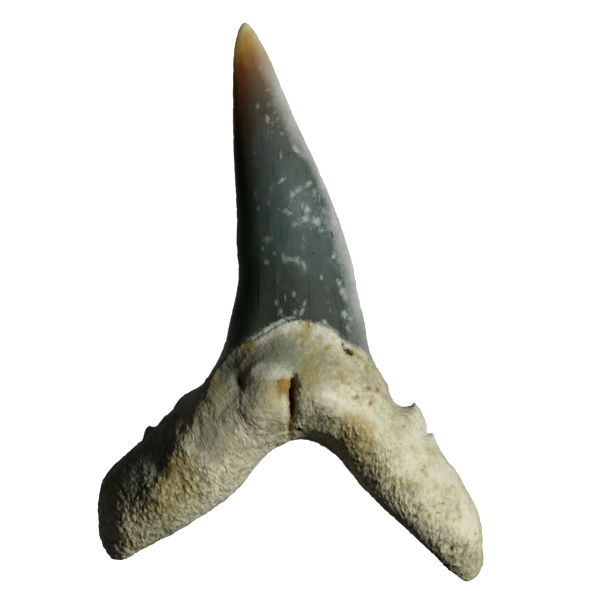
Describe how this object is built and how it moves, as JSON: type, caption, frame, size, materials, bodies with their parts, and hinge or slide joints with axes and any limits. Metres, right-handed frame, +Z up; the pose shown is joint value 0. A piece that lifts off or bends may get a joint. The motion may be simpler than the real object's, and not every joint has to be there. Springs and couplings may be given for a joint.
{
  "type": "fossil shark tooth",
  "caption": "Fossil shark tooth with a slender dark enamel crown, small side cusplets and a pale pitted root of two spreading lobes, lying inner face up.",
  "frame": {"origin": "middle of the tooth's footprint, on the plane that it lies on", "axes": "+Y from the root to the crown's tip, +Z up out of the inner (lingual) face, +X to the right seen from above"},
  "size_m": [0.022, 0.032, 0.0075],
  "materials": {
    "fossil_tooth": "matt, pitted cream and khaki root under a smooth, glossy, slate-green enamel crown with an amber tip"
  },
  "bodies": {
    "root": {"shark_tooth": "fossil_tooth"}
  },
  "joints": []
}
